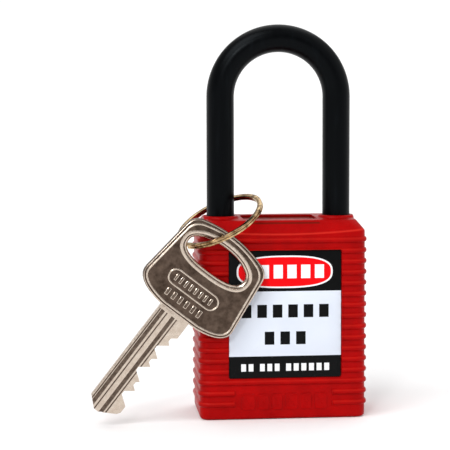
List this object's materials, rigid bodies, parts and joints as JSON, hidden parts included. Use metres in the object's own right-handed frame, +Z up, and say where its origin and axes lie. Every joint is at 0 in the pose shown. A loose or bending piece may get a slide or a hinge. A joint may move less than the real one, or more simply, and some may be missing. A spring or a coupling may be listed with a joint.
{
  "type": "safety padlock",
  "caption": "Lockout padlock: ribbed nylon body, tall round nylon shackle, pin tumbler cylinder, and a flat key hanging from a split ring on the shackle.",
  "frame": {"origin": "centre of the base, on the bottom cover, which the lock stands on", "axes": "+Z up along the shackle legs, -Y out of the face with the main label, +X towards the leg that stays in the body"},
  "size_m": [0.0632, 0.0263, 0.09],
  "materials": {
    "red_nylon": "satin moulded red nylon",
    "black_nylon": "satin moulded black nylon",
    "black_plastic": "matte moulded black plastic",
    "label_vinyl": "printed vinyl under a clear film",
    "brass": "machined",
    "steel": "stamped, zinc plated",
    "spring_steel": "drawn spring wire",
    "nickel": "dull nickel plate on brass",
    "brass_plate": "bright plated spring wire"
  },
  "bodies": {
    "case": {"lock_body": "red_nylon", "bottom_cover": "black_plastic", "front_label": "label_vinyl", "rear_label": "label_vinyl", "shackle_spring": "spring_steel", "cylinder_housing": "brass", "pin_chamber_cover": "brass", "housing_roll_pin": "spring_steel", "bolt_guide": "black_plastic", "pin_spring_1": "spring_steel", "pin_spring_2": "spring_steel", "pin_spring_3": "spring_steel", "pin_spring_4": "spring_steel", "pin_spring_5": "spring_steel", "pin_spring_6": "spring_steel"},
    "plug": {"plug": "brass", "plug_retaining_clip": "spring_steel", "tail_cam": "steel"},
    "bolt": {"locking_bolt": "steel"},
    "shackle": {"shackle": "black_nylon", "shackle_retaining_clip": "steel"},
    "ring": {"key_ring": "brass_plate"},
    "key": {"key": "nickel"},
    "key_pin_1": {"key_pin_1": "brass"},
    "driver_pin_1": {"driver_pin_1": "steel"},
    "key_pin_2": {"key_pin_2": "brass"},
    "driver_pin_2": {"driver_pin_2": "steel"},
    "key_pin_3": {"key_pin_3": "brass"},
    "driver_pin_3": {"driver_pin_3": "steel"},
    "key_pin_4": {"key_pin_4": "brass"},
    "driver_pin_4": {"driver_pin_4": "steel"},
    "key_pin_5": {"key_pin_5": "brass"},
    "driver_pin_5": {"driver_pin_5": "steel"},
    "key_pin_6": {"key_pin_6": "brass"},
    "driver_pin_6": {"driver_pin_6": "steel"}
  },
  "joints": [
    {"name": "plug_turn", "type": "hinge", "parent": "case", "child": "plug", "pos_m": [-0.006, 0, 0], "axis": [0, 0, 1], "range_deg": [0, 90]},
    {"name": "bolt_slide", "type": "slide", "parent": "case", "child": "bolt", "axis": [1, 0, 0], "range_m": [0, 0.0034]},
    {"name": "shackle_lift", "type": "slide", "parent": "case", "child": "shackle", "axis": [0, 0, 1], "range_m": [0, 0.012], "deforming": ["shackle_spring"]},
    {"name": "ring_tilt", "type": "hinge", "parent": "case", "child": "ring", "pos_m": [-0.01348, 0, 0.04709], "axis": [-0.5299, 0.848, 0], "range_deg": [0, 30]},
    {"name": "key_swing", "type": "hinge", "parent": "ring", "child": "key", "pos_m": [-0.01942, -0.0122, 0.04039], "axis": [-0.7295, 0.6662, -0.1546], "range_deg": [0, 20]},
    {"name": "driver_pin_1_lift", "type": "slide", "parent": "case", "child": "driver_pin_1", "axis": [1, 0, 0], "range_m": [-0.00225, 0]},
    {"name": "key_pin_1_lift", "type": "slide", "parent": "plug", "child": "key_pin_1", "axis": [1, 0, 0], "range_m": [-0.00225, 0]},
    {"name": "driver_pin_2_lift", "type": "slide", "parent": "case", "child": "driver_pin_2", "axis": [1, 0, 0], "range_m": [-0.00075, 0]},
    {"name": "key_pin_2_lift", "type": "slide", "parent": "plug", "child": "key_pin_2", "axis": [1, 0, 0], "range_m": [-0.00075, 0]},
    {"name": "driver_pin_3_lift", "type": "slide", "parent": "case", "child": "driver_pin_3", "axis": [1, 0, 0], "range_m": [-0.00155, 0]},
    {"name": "key_pin_3_lift", "type": "slide", "parent": "plug", "child": "key_pin_3", "axis": [1, 0, 0], "range_m": [-0.00155, 0]},
    {"name": "driver_pin_4_lift", "type": "slide", "parent": "case", "child": "driver_pin_4", "axis": [1, 0, 0], "range_m": [-0.00035, 0]},
    {"name": "key_pin_4_lift", "type": "slide", "parent": "plug", "child": "key_pin_4", "axis": [1, 0, 0], "range_m": [-0.00035, 0]},
    {"name": "driver_pin_5_lift", "type": "slide", "parent": "case", "child": "driver_pin_5", "axis": [1, 0, 0], "range_m": [-0.00195, 0]},
    {"name": "key_pin_5_lift", "type": "slide", "parent": "plug", "child": "key_pin_5", "axis": [1, 0, 0], "range_m": [-0.00195, 0]},
    {"name": "driver_pin_6_lift", "type": "slide", "parent": "case", "child": "driver_pin_6", "axis": [1, 0, 0], "range_m": [-0.00105, 0]},
    {"name": "key_pin_6_lift", "type": "slide", "parent": "plug", "child": "key_pin_6", "axis": [1, 0, 0], "range_m": [-0.00105, 0]}
  ],
  "couplings": [
    {"joint": "bolt_slide", "follows": "plug_turn", "m_per_rad": 0.0021608},
    {"joint": "shackle_lift", "follows": "plug_turn", "m_per_rad": 0.0076394},
    {"joint": "key_pin_1_lift", "follows": "driver_pin_1_lift", "ratio": 1},
    {"joint": "key_pin_2_lift", "follows": "driver_pin_2_lift", "ratio": 1},
    {"joint": "key_pin_3_lift", "follows": "driver_pin_3_lift", "ratio": 1},
    {"joint": "key_pin_4_lift", "follows": "driver_pin_4_lift", "ratio": 1},
    {"joint": "key_pin_5_lift", "follows": "driver_pin_5_lift", "ratio": 1},
    {"joint": "key_pin_6_lift", "follows": "driver_pin_6_lift", "ratio": 1}
  ]
}
